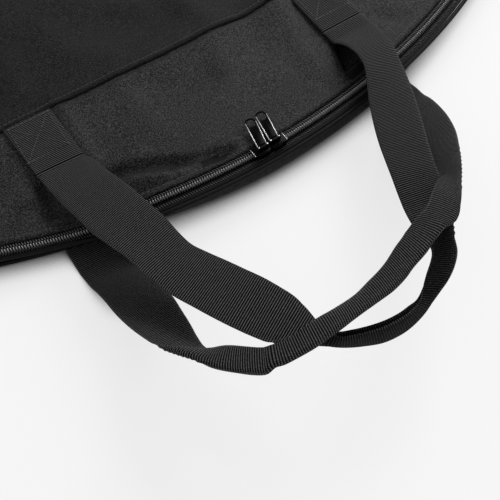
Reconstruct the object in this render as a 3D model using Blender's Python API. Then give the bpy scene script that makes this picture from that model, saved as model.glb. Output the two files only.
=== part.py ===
"""Round bike wheel bag, lying flat and empty on its back panel.

Metres, +Z up. The origin is the middle of the disc on the face it rests on, and the handles
point to -Y. Angles round the bag count from -Y towards +X.
"""
import math

import bmesh
import bpy
from mathutils import Matrix, Vector

# Cloth, webbing and the gap that sewn layers keep
CLOTH = 0.0012
WEBBING = 0.0015
WEBBING_WIDTH = 0.025
SEAM_GAP = 0.0003

# Zip, measured from the middle of its chain
CHAIN_RADIUS = 0.3935
CHAIN_GAP = 0.0012
COIL_WIDTH = 0.0015
COIL_HEIGHT = 0.0022
TAPE = 0.0006
INNER_TAPE_WIDTH = 0.0109
OUTER_TAPE_WIDTH = 0.0046
PANEL_SETBACK = 0.0042
ZIP_HALF_ANGLE = math.radians(118)
COIL_HALF_ANGLE = math.radians(117)
HINGE_ANGLE = math.radians(120)
HINGE_SLOT = 0.0008
HINGE_RISE = 0.00015
END_TAB_LENGTH = 0.011

# Side strip and pipings
GUSSET_HEIGHT = 0.0127
PIPING_RADIUS = 0.0012
BINDING_WIDTH = 0.006
BACK_BINDING_WIDTH = 0.0127

# Lower yoke of each panel
YOKE_DEPTH = 0.0852
HEM_OVERLAP = 0.010

# Handles: the straps leave the anchors at a fold, and the loops turn about that fold
FRONT_ANCHOR_X = 0.084
FRONT_ANCHOR_LENGTH = 0.038
BACK_ANCHOR_X = 0.088
BACK_STRAP_REACH = 0.0024
FOLD_GAP = 0.0009
FRONT_LOOP_REACH = 0.152
FRONT_LOOP_RISE = 0.027
BACK_LOOP_REACH = 0.097
BACK_LOOP_RISE = 0.056

# Zip sliders and their pulls
SLIDER_LENGTH = 0.0094
SLIDER_WIDTH = 0.0068
SLIDER_TAIL_WIDTH = 0.0052
SLIDER_CHAMFER = 0.0012
SLIDER_PLATE = 0.0009
SLIDER_FLANGE = 0.0009
SLIDER_FLANGE_DROP = 0.002
SLIDER_POST = 0.0006
SLIDER_FOOT_WIDTH = 0.0056
SLIDERS_MEET_X = 0.0056
CROWN_LENGTH = 0.0044
CROWN_WIDTH = 0.0012
CROWN_WALL = 0.0006
PULL_LENGTH = 0.018
PULL_WIDTH = 0.0052
PULL = 0.0008
PULL_BAR = 0.0008
PULL_WINDOW_WIDTH = 0.003
PULL_WINDOW_LENGTH = 0.0026
PULL_HOLE_RADIUS = 0.0018
PULL_LEAN = math.radians(12)
OVERRUN = 0.004

# Facets
RING_STEP = math.radians(3)
PIPING_SEGMENTS = 120
PIPING_SIDES = 6
HOLE_STEPS = 16
STRAP_STEPS = 3

# Radii worked out from the sizes above
inner_chain_edge = CHAIN_RADIUS - CHAIN_GAP / 2
outer_chain_edge = CHAIN_RADIUS + CHAIN_GAP / 2
inner_tape_edge = inner_chain_edge - INNER_TAPE_WIDTH
panel_edge = CHAIN_RADIUS - PANEL_SETBACK
rim = outer_chain_edge + OUTER_TAPE_WIDTH
piping_path = rim + SEAM_GAP + PIPING_RADIUS
piping_edge = piping_path + PIPING_RADIUS

# Heights of the layers, from the floor up
back_yoke_low = SEAM_GAP + WEBBING + SEAM_GAP
back_yoke_high = back_yoke_low + CLOTH
gusset_low = back_yoke_high + SEAM_GAP
gusset_high = gusset_low + GUSSET_HEIGHT
tape_low = gusset_high + SEAM_GAP
tape_high = tape_low + TAPE
yoke_low = tape_high + SEAM_GAP
yoke_high = yoke_low + CLOTH
main_low = yoke_high + SEAM_GAP
main_high = main_low + CLOTH
coil_high = yoke_low + COIL_HEIGHT
plate_low = coil_high + SEAM_GAP
plate_high = plate_low + SLIDER_PLATE
foot_high = tape_low - SEAM_GAP
foot_low = foot_high - SLIDER_PLATE
pull_low = plate_high + SEAM_GAP
pull_high = pull_low + PULL
crown_low = pull_high + SEAM_GAP
crown_high = crown_low + CROWN_WALL

# Lines across the bag
seam_y = YOKE_DEPTH - rim
hem_y = seam_y + HEM_OVERLAP
hinge_y = -CHAIN_RADIUS * math.cos(HINGE_ANGLE)
front_fold_y = seam_y - FRONT_ANCHOR_LENGTH
back_inner_x = BACK_ANCHOR_X - WEBBING_WIDTH / 2
back_fold_y = -math.sqrt(piping_edge**2 - back_inner_x**2) - BACK_STRAP_REACH

cover_axis = Vector((0, hinge_y, main_high + HINGE_RISE))
front_fold = Vector((0, front_fold_y, yoke_high + SEAM_GAP + WEBBING / 2))
back_fold = Vector((0, back_fold_y, SEAM_GAP + WEBBING / 2))

# Stations along each loop, from the left anchor round to the right one. Each row holds the
# middle of the strap as shares of anchor x, reach and rise, then its roll in degrees and its
# width as a share of the webbing's, which is a half where the grip is folded in two.
front_loop_shares = [
    (-1.00, 0.00, 0.00, 0, 1.0),
    (-0.97, 0.07, 0.21, -8, 1.0),
    (-0.93, 0.17, 0.34, -5, 1.0),
    (-0.89, 0.27, 0.44, -3, 1.0),
    (-0.85, 0.36, 0.53, 2, 1.0),
    (-0.82, 0.46, 0.60, 12, 1.0),
    (-0.78, 0.55, 0.67, 11, 1.0),
    (-0.72, 0.64, 0.74, 3, 1.0),
    (-0.64, 0.73, 0.79, 3, 1.0),
    (-0.56, 0.82, 0.82, 8, 0.96),
    (-0.50, 0.89, 0.84, 20, 0.72),
    (-0.43, 0.94, 0.86, 40, 0.50),
    (-0.31, 0.98, 0.86, 42, 0.50),
    (-0.17, 1.00, 0.88, 43, 0.50),
    (0.02, 0.99, 0.94, 55, 0.50),
    (0.17, 0.96, 0.98, 52, 0.50),
    (0.27, 0.91, 0.96, 45, 0.50),
    (0.32, 0.86, 0.92, 30, 0.50),
    (0.35, 0.82, 0.86, 28, 0.60),
    (0.39, 0.77, 0.77, 36, 0.80),
    (0.45, 0.70, 0.67, 46, 1.0),
    (0.56, 0.61, 0.59, 54, 1.0),
    (0.65, 0.52, 0.48, 48, 1.0),
    (0.73, 0.44, 0.38, 34, 1.0),
    (0.80, 0.37, 0.32, 16, 1.0),
    (0.87, 0.30, 0.30, 0, 1.0),
    (0.93, 0.22, 0.29, -7, 1.0),
    (0.97, 0.14, 0.25, -8, 1.0),
    (1.00, 0.07, 0.14, -5, 1.0),
    (1.00, 0.00, 0.00, 0, 1.0),
]
back_loop_shares = [
    (-1.00, 0.00, 0.00, 0, 1.0),
    (-0.99, 0.13, 0.09, 0, 1.0),
    (-0.98, 0.25, 0.21, 0, 1.0),
    (-0.96, 0.39, 0.33, -3, 1.0),
    (-0.94, 0.52, 0.44, -3, 0.98),
    (-0.90, 0.65, 0.56, 0, 0.92),
    (-0.86, 0.78, 0.69, 8, 0.78),
    (-0.78, 0.90, 0.84, 22, 0.60),
    (-0.69, 0.97, 0.94, 30, 0.50),
    (-0.58, 1.00, 0.99, 34, 0.50),
    (-0.43, 1.00, 1.00, 40, 0.50),
    (-0.27, 0.99, 0.97, 42, 0.50),
    (-0.12, 0.97, 0.95, 36, 0.50),
    (0.02, 0.94, 0.95, 33, 0.50),
    (0.14, 0.90, 0.96, 29, 0.50),
    (0.26, 0.86, 0.98, 27, 0.50),
    (0.38, 0.82, 0.99, 26, 0.50),
    (0.49, 0.775, 1.00, 34, 0.50),
    (0.605, 0.71, 0.90, 50, 0.58),
    (0.67, 0.605, 0.73, 58, 0.78),
    (0.73, 0.47, 0.54, 45, 0.92),
    (0.83, 0.34, 0.39, 26, 1.0),
    (0.92, 0.23, 0.24, 12, 1.0),
    (0.98, 0.11, 0.10, 4, 1.0),
    (1.00, 0.00, 0.00, 0, 1.0),
]


def clear_scene():
    for item in list(bpy.data.objects):
        bpy.data.objects.remove(item, do_unlink=True)


def new_collection(name):
    made = bpy.data.collections.new(name)
    bpy.context.scene.collection.children.link(made)
    return made


def make_material(name, colour, roughness, metallic):
    made = bpy.data.materials.new(name)
    made.use_nodes = True
    shader = made.node_tree.nodes["Principled BSDF"]
    shader.inputs["Base Color"].default_value = (*colour, 1)
    shader.inputs["Roughness"].default_value = roughness
    shader.inputs["Metallic"].default_value = metallic
    return made


def finish(item, look, parent=None):
    """Gives the object its own material, a parent and a place in the bag's collection."""
    colour, roughness, metallic = look
    item.data.materials.clear()
    item.data.materials.append(make_material(item.name + "_material", colour, roughness, metallic))
    if parent is not None:
        item.parent = parent
        item.location -= parent.location
    bag.objects.link(item)
    return item


def axis_empty(name, where, parent=None):
    made = bpy.data.objects.new(name, None)
    made.empty_display_size = WEBBING_WIDTH
    made.location = where
    bag.objects.link(made)
    if parent is not None:
        made.parent = parent
        made.location = Vector(where) - parent.location
    return made


def on_circle(radius, angle):
    return (radius * math.sin(angle), -radius * math.cos(angle))


def arc(radius, start, end):
    """Points from start to end on the grid that all rings share, so facets stay parallel."""
    first = math.floor(start / RING_STEP) + 1
    last = math.ceil(end / RING_STEP) - 1
    angles = [start] + [k * RING_STEP for k in range(first, last + 1)] + [end]
    return [on_circle(radius, angle) for angle in angles]


def angle_at(radius, y):
    return math.acos(-y / radius)


def disc_slice(radius, low_y=None, high_y=None):
    """The part of a disc between two lines across it."""
    start = 0 if low_y is None else angle_at(radius, low_y)
    end = math.pi if high_y is None else angle_at(radius, high_y)
    right = arc(radius, start, end)
    left = [(-x, y) for x, y in reversed(right)]
    if high_y is None:
        left = left[1:]
    if low_y is None:
        left = left[:-1]
    return right + left


def ring_slice(inner, outer, start, end):
    return arc(outer, start, end) + list(reversed(arc(inner, start, end)))


def rectangle(x_low, x_high, y_low, y_high):
    return [(x_low, y_low), (x_high, y_low), (x_high, y_high), (x_low, y_high)]


def flat_curve(name, outlines, low, high):
    """A flat outline, with any holes, filled and extruded from low to high."""
    data = bpy.data.curves.new(name, "CURVE")
    data.dimensions = "2D"
    data.fill_mode = "BOTH"
    data.extrude = (high - low) / 2
    for outline in outlines:
        spline = data.splines.new("POLY")
        spline.points.add(len(outline) - 1)
        for point, (x, y) in zip(spline.points, outline):
            point.co = (x, y, 0, 1)
        spline.use_cyclic_u = True
    made = bpy.data.objects.new(name, data)
    made.location = (0, 0, (low + high) / 2)
    return made


def as_mesh(item):
    """The curve as a welded mesh with the same place, ready for a Boolean."""
    bpy.context.scene.collection.objects.link(item)
    bpy.context.view_layer.update()
    graph = bpy.context.evaluated_depsgraph_get()
    mesh = bpy.data.meshes.new_from_object(item.evaluated_get(graph))
    name, place = item.name, item.matrix_world.copy()
    bpy.data.objects.remove(item, do_unlink=True)
    form = bmesh.new()
    form.from_mesh(mesh)
    bmesh.ops.remove_doubles(form, verts=form.verts, dist=SEAM_GAP / 100)
    form.to_mesh(mesh)
    form.free()
    mesh.name = name
    made = bpy.data.objects.new(name, mesh)
    made.matrix_world = place
    return made


def piping_ring(name, height, look):
    bpy.ops.mesh.primitive_torus_add(
        major_radius=piping_path,
        minor_radius=PIPING_RADIUS,
        major_segments=PIPING_SEGMENTS,
        minor_segments=PIPING_SIDES,
        location=(0, 0, height),
    )
    made = bpy.context.object
    made.name = name
    made.data.shade_smooth()
    for owner in list(made.users_collection):
        owner.objects.unlink(made)
    return finish(made, look)


def smooth_stations(rows):
    """A Catmull-Rom curve through the rows, so the strap bends evenly."""
    ends = [2 * rows[0] - rows[1], *rows, 2 * rows[-1] - rows[-2]]
    out = []
    for i in range(1, len(ends) - 2):
        a, b, c, d = ends[i - 1 : i + 3]
        for step in range(STRAP_STEPS):
            t = step / STRAP_STEPS
            out.append(
                (2 * b + (c - a) * t + (2 * a - 5 * b + 4 * c - d) * t**2
                 + (3 * b - a - 3 * c + d) * t**3) / 2
            )
    return [*out, rows[-1]]


def strap_loop(name, shares, anchor_x, reach, rise, fold, look, parent):
    """Webbing lofted through its stations. Where it is narrower it is folded, so thicker."""
    rows = [
        Vector((x * anchor_x, -y * reach, z * rise, math.radians(roll), width * WEBBING_WIDTH))
        for x, y, z, roll, width in shares
    ]
    rows = smooth_stations(rows)
    mesh = bpy.data.meshes.new(name)
    form = bmesh.new()
    sections = []
    for i, row in enumerate(rows):
        along = (rows[min(i + 1, len(rows) - 1)] - rows[max(i - 1, 0)])[:3]
        along = Vector(along).normalized()
        if i in (0, len(rows) - 1):
            along = Vector((0, -1 if i == 0 else 1, 0))
        outward = along.cross(Vector((0, 0, 1))).normalized()
        upward = outward.cross(along)
        across = outward * math.cos(row[3]) + upward * math.sin(row[3])
        normal = across.cross(along)
        half = across * row[4] / 2
        thick = normal * WEBBING * WEBBING_WIDTH / row[4] / 2
        middle = Vector(row[:3])
        corners = [middle + half + thick, middle - half + thick,
                   middle - half - thick, middle + half - thick]
        sections.append([form.verts.new(corner) for corner in corners])
    for one, two in zip(sections, sections[1:]):
        for k in range(len(one)):
            m = (k + 1) % len(one)
            form.faces.new((one[k], one[m], two[m], two[k]))
    form.faces.new(sections[0])
    form.faces.new(sections[-1])
    bmesh.ops.recalc_face_normals(form, faces=form.faces)
    form.to_mesh(mesh)
    form.free()
    made = bpy.data.objects.new(name, mesh)
    made.location = fold
    return finish(made, look, parent)


def anchor(name, middle_x, end_y, low, look, parent=None):
    outline = rectangle(
        middle_x - WEBBING_WIDTH / 2,
        middle_x + WEBBING_WIDTH / 2,
        end_y + FOLD_GAP,
        seam_y - SEAM_GAP,
    )
    return finish(flat_curve(name, [outline], low, low + WEBBING), look, parent)


def slider_body(name, side, seat):
    """Two plates joined by the post that runs between the coils, with a flange on each side.

    The section is drawn across the chain and extruded along it, then trimmed to the plan.
    """
    half, inner = SLIDER_WIDTH / 2, SLIDER_WIDTH / 2 - SLIDER_FLANGE
    post, foot = SLIDER_POST / 2, SLIDER_FOOT_WIDTH / 2
    right = [
        (foot, foot_low),
        (foot, foot_high),
        (post, foot_high),
        (post, plate_low),
        (inner, plate_low),
        (inner, plate_low - SLIDER_FLANGE_DROP),
        (half, plate_low - SLIDER_FLANGE_DROP),
        (half, plate_high),
    ]
    section = right + [(-y, z) for y, z in reversed(right)]
    body = flat_curve(name, [section], 0, SLIDER_LENGTH)
    body.matrix_world = Matrix(((0, 0, 1, 0), (1, 0, 0, 0), (0, 1, 0, 0), (0, 0, 0, 1)))
    body = as_mesh(body)
    tail = SLIDER_TAIL_WIDTH / 2
    nose_x, tail_x = -side * SLIDER_LENGTH / 2, side * SLIDER_LENGTH / 2
    step = side * SLIDER_CHAMFER
    plan = [
        (nose_x, half - SLIDER_CHAMFER),
        (nose_x + step, half),
        (0, half),
        (tail_x - step, tail),
        (tail_x, tail - SLIDER_CHAMFER),
    ]
    plan = plan + [(x, -y) for x, y in reversed(plan)]
    cutter = as_mesh(flat_curve(name + "_plan", [plan], foot_low - OVERRUN, plate_high + OVERRUN))
    cutter.hide_render = True
    cutter.display_type = "WIRE"
    cutters.objects.link(cutter)
    trim = body.modifiers.new("trim to plan", "BOOLEAN")
    trim.operation = "INTERSECT"
    trim.object = cutter
    cutter.parent = seat
    return body


def pull_outline():
    half = PULL_WIDTH / 2
    straight = PULL_LENGTH - PULL_BAR / 2 - half
    turns = range(HOLE_STEPS // 2 + 1)
    end = [math.pi * k / (HOLE_STEPS // 2) for k in turns]
    outer = [(half, -PULL_BAR / 2)] + [
        (half * math.cos(a), straight + half * math.sin(a)) for a in end
    ] + [(-half, -PULL_BAR / 2)]
    circle = [2 * math.pi * k / HOLE_STEPS for k in range(HOLE_STEPS)]
    hole = [
        (PULL_HOLE_RADIUS * math.cos(a), straight + PULL_HOLE_RADIUS * math.sin(a)) for a in circle
    ]
    window = rectangle(
        -PULL_WINDOW_WIDTH / 2,
        PULL_WINDOW_WIDTH / 2,
        PULL_BAR / 2,
        PULL_BAR / 2 + PULL_WINDOW_LENGTH,
    )
    return [outer, window, hole]


def crown_outline():
    """The arch that holds the pull's bar, drawn across the chain."""
    half, inner = CROWN_LENGTH / 2, CROWN_LENGTH / 2 - CROWN_WALL
    foot = plate_high + SEAM_GAP
    right = [(half, crown_high), (half, foot), (inner, foot), (inner, crown_low)]
    return right + [(-y, z) for y, z in reversed(right)]


def zip_slider(side_name, side, cover):
    """A slider with its crown and pull. side is -1 for the left one and 1 for the right."""
    middle_x = SLIDERS_MEET_X + side * (SLIDER_LENGTH + SEAM_GAP) / 2
    angle = math.asin(middle_x / CHAIN_RADIUS)
    x, y = on_circle(CHAIN_RADIUS, angle)
    turn = Matrix.Rotation(angle, 4, "Z")
    seat = Matrix.Translation((x, y, 0)) @ turn
    travel = axis_empty("slider_" + side_name + "_travel_axis", Vector((0, 0, 0)), cover)
    holder = bpy.data.objects.new("slider_" + side_name + "_seat", None)
    bag.objects.link(holder)
    holder.parent = travel
    holder.matrix_local = seat

    body = slider_body("slider_" + side_name + "_body", side, holder)
    across = body.matrix_world.copy()
    finish(body, DARK_METAL)
    body.parent = holder
    body.matrix_local = across

    crown = flat_curve("slider_" + side_name + "_crown", [crown_outline()], 0, CROWN_WIDTH)
    finish(crown, POLISHED_METAL)
    crown.parent = holder
    crown.matrix_local = across

    pull = flat_curve("slider_" + side_name + "_pull", pull_outline(), pull_low, pull_high)
    finish(pull, DARK_METAL)
    hinge = bpy.data.objects.new("pull_" + side_name + "_flip_axis", None)
    bag.objects.link(hinge)
    hinge.parent = holder
    hinge.location = (0, 0, (pull_low + pull_high) / 2)
    hinge.rotation_euler = (0, 0, -PULL_LEAN)
    pull.parent = hinge
    pull.location = (0, 0, 0)


# Finishes: linear colour, roughness, metallic
BLACK_CLOTH = ((0.028, 0.028, 0.029), 0.85, 0)
BLACK_WEBBING = ((0.034, 0.034, 0.035), 0.75, 0)
BLACK_TAPE = ((0.016, 0.016, 0.017), 0.7, 0)
BLACK_NYLON = ((0.03, 0.03, 0.032), 0.3, 0)
DARK_METAL = ((0.05, 0.05, 0.055), 0.35, 1)
POLISHED_METAL = ((0.55, 0.55, 0.56), 0.2, 1)

clear_scene()
bag = new_collection("wheel_bag")
cutters = new_collection("wheel_bag_cutters")

# Back half: it lies on the floor
finish(flat_curve("back_main_panel", [disc_slice(rim, seam_y)], 0, CLOTH), BLACK_CLOTH)
finish(
    flat_curve("back_yoke_panel", [disc_slice(rim, None, hem_y)], back_yoke_low, back_yoke_high),
    BLACK_CLOTH,
)
back_binding_inner = rim - BACK_BINDING_WIDTH
yoke_angle = angle_at(rim, hem_y + SEAM_GAP)
finish(
    flat_curve(
        "back_seam_binding",
        [ring_slice(back_binding_inner, rim, yoke_angle, 2 * math.pi - yoke_angle)],
        CLOTH + SEAM_GAP,
        back_yoke_high,
    ),
    BLACK_TAPE,
)
join_gap = SEAM_GAP / rim
gusset_arcs = {
    "gusset_left_strip": (-HINGE_ANGLE, -join_gap),
    "gusset_right_strip": (0, HINGE_ANGLE),
    "gusset_rear_strip": (HINGE_ANGLE + join_gap, 2 * math.pi - HINGE_ANGLE - join_gap),
}
for name, ends in gusset_arcs.items():
    strip = flat_curve(name, [ring_slice(rim - CLOTH, rim, *ends)], gusset_low, gusset_high)
    finish(strip, BLACK_CLOTH)
piping_ring("back_piping", gusset_low, BLACK_CLOTH)
piping_ring("front_piping", tape_low + TAPE / 2, BLACK_CLOTH)
for side_name, side in (("left", -1), ("right", 1)):
    anchor("back_handle_anchor_" + side_name, side * BACK_ANCHOR_X, back_fold_y, SEAM_GAP,
           BLACK_WEBBING)

# Tail of the front: the part that stays put behind the hinge line
tail_y = hinge_y + HINGE_SLOT / 2
finish(flat_curve("front_tail_panel", [disc_slice(rim, tail_y)], main_low, main_high), BLACK_CLOTH)
tail_inner = panel_edge - BINDING_WIDTH
tail_angle = angle_at(tail_inner, tail_y + SEAM_GAP)
finish(
    flat_curve(
        "tail_seam_binding",
        [ring_slice(tail_inner, rim, tail_angle, 2 * math.pi - tail_angle)],
        tape_low,
        yoke_high,
    ),
    BLACK_TAPE,
)

# Outer half of the zip
tape_end = angle_at(rim, hinge_y - SEAM_GAP)
finish(
    flat_curve(
        "zipper_tape_outer",
        [ring_slice(outer_chain_edge, rim, -tape_end, tape_end)],
        tape_low,
        tape_high,
    ),
    BLACK_TAPE,
)
finish(
    flat_curve(
        "zipper_coil_outer",
        [ring_slice(outer_chain_edge, outer_chain_edge + COIL_WIDTH, -COIL_HALF_ANGLE,
                    COIL_HALF_ANGLE)],
        yoke_low,
        coil_high,
    ),
    BLACK_NYLON,
)
tab_span = END_TAB_LENGTH / CHAIN_RADIUS
tab_start = COIL_HALF_ANGLE + SEAM_GAP / CHAIN_RADIUS
for side_name, side in (("left", -1), ("right", 1)):
    ends = sorted((side * tab_start, side * (tab_start + tab_span)))
    finish(
        flat_curve("zip_end_tab_" + side_name, [ring_slice(outer_chain_edge, rim, *ends)],
                   yoke_low, yoke_high),
        BLACK_TAPE,
    )

# Front cover: it turns up about the hinge line
cover = axis_empty("cover_open_axis", cover_axis)
cover_edge_y = hinge_y - HINGE_SLOT / 2
finish(
    flat_curve("front_main_panel", [disc_slice(panel_edge, seam_y, cover_edge_y)], main_low,
               main_high),
    BLACK_CLOTH,
    cover,
)
finish(
    flat_curve("front_yoke_panel", [disc_slice(panel_edge, None, hem_y)], yoke_low, yoke_high),
    BLACK_CLOTH,
    cover,
)
binding_inner = panel_edge - BINDING_WIDTH
binding_start = angle_at(panel_edge, hem_y + SEAM_GAP)
binding_end = angle_at(panel_edge, cover_edge_y)
for side_name, side in (("left", -1), ("right", 1)):
    ends = sorted((side * binding_start, side * binding_end))
    finish(
        flat_curve("front_seam_binding_" + side_name, [ring_slice(binding_inner, panel_edge, *ends)],
                   yoke_low, yoke_high),
        BLACK_TAPE,
        cover,
    )
finish(
    flat_curve(
        "zipper_tape_inner",
        [ring_slice(inner_tape_edge, inner_chain_edge, -ZIP_HALF_ANGLE, ZIP_HALF_ANGLE)],
        tape_low,
        tape_high,
    ),
    BLACK_TAPE,
    cover,
)
finish(
    flat_curve(
        "zipper_coil_inner",
        [ring_slice(inner_chain_edge - COIL_WIDTH, inner_chain_edge, -COIL_HALF_ANGLE,
                    COIL_HALF_ANGLE)],
        yoke_low,
        coil_high,
    ),
    BLACK_NYLON,
    cover,
)
for side_name, side in (("left", -1), ("right", 1)):
    anchor("front_handle_anchor_" + side_name, side * FRONT_ANCHOR_X, front_fold_y,
           yoke_high + SEAM_GAP, BLACK_WEBBING, cover)
    zip_slider(side_name, side, cover)

# Handles
strap_loop("front_handle_loop", front_loop_shares, FRONT_ANCHOR_X, FRONT_LOOP_REACH,
           FRONT_LOOP_RISE, front_fold, BLACK_WEBBING, cover)
strap_loop("back_handle_loop", back_loop_shares, BACK_ANCHOR_X, BACK_LOOP_REACH,
           BACK_LOOP_RISE, back_fold, BLACK_WEBBING, None)
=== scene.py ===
import math

import bmesh
import bpy
import numpy as np
from mathutils import Matrix, Vector, noise


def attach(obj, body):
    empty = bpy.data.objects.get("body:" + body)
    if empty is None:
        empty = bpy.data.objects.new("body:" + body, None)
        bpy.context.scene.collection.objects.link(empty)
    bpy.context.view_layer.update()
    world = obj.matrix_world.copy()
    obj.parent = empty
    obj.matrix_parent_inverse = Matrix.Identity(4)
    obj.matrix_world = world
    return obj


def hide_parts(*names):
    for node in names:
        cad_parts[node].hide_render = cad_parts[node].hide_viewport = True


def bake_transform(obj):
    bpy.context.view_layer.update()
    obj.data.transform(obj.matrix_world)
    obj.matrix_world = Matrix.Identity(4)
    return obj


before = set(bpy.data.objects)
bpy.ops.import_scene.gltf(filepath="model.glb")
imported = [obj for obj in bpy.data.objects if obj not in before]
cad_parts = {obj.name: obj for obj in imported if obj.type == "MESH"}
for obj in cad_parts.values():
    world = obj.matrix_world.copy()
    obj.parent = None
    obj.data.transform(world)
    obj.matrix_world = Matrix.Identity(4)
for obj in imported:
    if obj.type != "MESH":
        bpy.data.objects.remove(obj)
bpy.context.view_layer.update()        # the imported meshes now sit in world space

scene = bpy.context.scene
mm = 0.001
print("wheel bag: frame loaded")


def addObject(name, data):
    item = bpy.data.objects.new(name, data)
    scene.collection.objects.link(item)
    return item


# Camera at the photograph's place: it looks down on the handles from the front left
shot = {"lens": 50.8, "sensor": 36, "azimuth": -33.42, "elevation": 61.73, "roll": -0.295,
        "target": (-33.3, -435.5, 20), "distance": 311.3, "clip": 0.01}


def aimCamera():
    turn = Matrix.Identity(4)
    for angle, axis in ((shot["azimuth"], "Z"), (90 - shot["elevation"], "X"), (shot["roll"], "Z")):
        turn = turn @ Matrix.Rotation(math.radians(angle), 4, axis)
    data = bpy.data.cameras.new("camera")
    data.lens, data.sensor_width, data.clip_start = shot["lens"], shot["sensor"], shot["clip"]
    scene.camera = addObject("camera", data)
    eye = Vector(shot["target"]) + turn.col[2].to_3d() * shot["distance"]
    scene.camera.matrix_world = Matrix.Translation(eye * mm) @ turn


aimCamera()

# Small helpers


def linear(text):
    parts = [int(text[i:i + 2], 16) / 255 for i in (1, 3, 5)]
    return (*[c / 12.92 if c <= 0.04045 else ((c + 0.055) / 1.055) ** 2.4 for c in parts], 1)


def setInputs(node, inputs):
    # In order, or by name from a dictionary. A node stands for its first output.
    for key, value in inputs.items() if isinstance(inputs, dict) else enumerate(inputs):
        value = value.outputs[0] if isinstance(value, bpy.types.Node) else value
        if isinstance(value, bpy.types.NodeSocket):
            node.id_data.links.new(value, node.inputs[key])
        else:
            node.inputs[key].default_value = value


def addNode(tree, kind, inputs=(), **settings):
    node = tree.nodes.new(kind)
    for key, value in settings.items():
        setattr(node, key, value)
    setInputs(node, inputs)
    return node


def blankMaterial(name):
    made = bpy.data.materials.new(name)
    made.use_nodes = True
    return made, made.node_tree, made.node_tree.nodes["Principled BSDF"]


def evaluated(item):
    bpy.context.view_layer.update()
    graph = bpy.context.evaluated_depsgraph_get()
    return bpy.data.meshes.new_from_object(item.evaluated_get(graph), depsgraph=graph)


def applyModifiers(piece):
    mesh = evaluated(piece)
    piece.modifiers.clear()
    piece.data = mesh
    return piece


def meshOf(name, points, faces, finish):
    mesh = bpy.data.meshes.new(name)
    mesh.from_pydata([tuple(p) for p in points], [], faces)
    mesh.materials.append(finish)
    return mesh


def addPiece(name, points, faces, finish, uvs=None):
    mesh = meshOf(name, points, faces, finish)
    if uvs is not None:
        layer = mesh.uv_layers.new(name="UVMap")
        corners = np.empty(len(mesh.loops), dtype=np.int32)
        mesh.loops.foreach_get("vertex_index", corners)
        layer.data.foreach_set("uv", np.asarray(uvs, dtype=np.float32)[corners].ravel())
    mesh.shade_smooth()
    return addObject(name, mesh)


def tubeFaces(rings, size, closed=False):
    # Four-sided faces between rings of points, and a cap on each end of an open tube
    faces = []
    for i in range(rings if closed else rings - 1):
        one, two = i * size, (i + 1) % rings * size
        for j in range(size):
            k = (j + 1) % size
            faces.append((one + j, one + k, two + k, two + j))
    if not closed:
        faces += [tuple(range(size))[::-1], tuple(range((rings - 1) * size, rings * size))]
    return faces


def faceOut(item):
    form = bmesh.new()
    form.from_mesh(item.data)
    bmesh.ops.recalc_face_normals(form, faces=form.faces)
    form.to_mesh(item.data)
    form.free()


def addSplines(curve, outlines, closed=False):
    for outline in outlines:
        spline = curve.splines.new("POLY")
        spline.points.add(len(outline) - 1)
        for point, at in zip(spline.points, outline):
            point.co = (*at, 1)
        spline.use_cyclic_u = closed


def place(piece, body, slotName, *nodes):
    if body:
        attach(piece, body)
    if nodes:
        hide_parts(*nodes)


def smoothStep(x):
    x = np.clip(x, 0, 1)
    return x * x * (3 - 2 * x)


def softNoise(x, y, layer):
    flat = [noise.noise((a, b, layer)) for a, b in zip(np.ravel(x), np.ravel(y))]
    return np.array(flat).reshape(np.shape(x))


# Materials. Each pattern's scale comes from a real size in millimetres.
handleWeb = {"width": 25, "thick": 1.25, "rib": 1.0, "ribHeight": 0.1, "foldRadius": 0.85,
             "sewnEnd": -313.9, "edgeHighlight": 0.7}
ownSockets = {"roughness": "Roughness", "specular": "Specular IOR Level", "metallic": "Metallic",
              "ior": "IOR"}


def millimetres(tree, source=None):
    source = source or addNode(tree, "ShaderNodeTexCoord").outputs["Object"]
    return addNode(tree, "ShaderNodeVectorMath", {0: source, "Scale": 1 / mm}, operation="SCALE")


def dressShader(shader, tone, relief, strength, settings):
    # What every finish shares: a colour between dark and light, a bump, and the shader's own values
    tree = shader.id_data
    colour = addNode(tree, "ShaderNodeMix", {0: tone, 6: linear(settings["dark"]),
                                             7: linear(settings["light"])}, data_type="RGBA")
    bump = addNode(tree, "ShaderNodeBump", {"Strength": strength, "Height": relief,
                                            "Distance": settings["relief"] * mm})
    setInputs(shader, {"Base Color": colour.outputs[2], "Normal": bump})
    setInputs(shader, {ownSockets[key]: settings[key] for key in ownSockets if key in settings})


def wovenCloth(name, settings):
    # Polyester oxford: a plain basket weave of flat yarns under a thin coating, so it is matte
    # with a fine even grain and slow changes of tone
    made, tree, shader = blankMaterial(name)
    at = millimetres(tree)
    waves = addNode(tree, "ShaderNodeVectorMath",
                    {0: at, "Scale": math.pi / settings["yarn"]}, operation="SCALE")
    waves = addNode(tree, "ShaderNodeVectorMath", [waves], operation="SINE")
    warp, weft, _ = addNode(tree, "ShaderNodeSeparateXYZ", [waves]).outputs
    knots = addNode(tree, "ShaderNodeMath", [warp, weft], operation="MULTIPLY")
    knots = addNode(tree, "ShaderNodeMath", [knots], operation="ABSOLUTE")
    speckle, cloud = (
        addNode(tree, "ShaderNodeTexNoise",
                {"Vector": at, "Scale": 1 / settings[key], "Detail": detail})
        for key, detail in (("speckle", 2), ("cloud", 3)))
    tone = -settings["grain"] / 2 - 0.1
    for part, weight in ((speckle, settings["grain"]), (knots, 0.35), (cloud, 0.4)):
        tone = addNode(tree, "ShaderNodeMath", [part, weight, tone], operation="MULTIPLY_ADD")
    tone.use_clamp = True
    relief = addNode(tree, "ShaderNodeMath", [speckle, 1.2, knots], operation="MULTIPLY_ADD")
    dressShader(shader, tone, relief, 0.5, settings)
    return made


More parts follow.
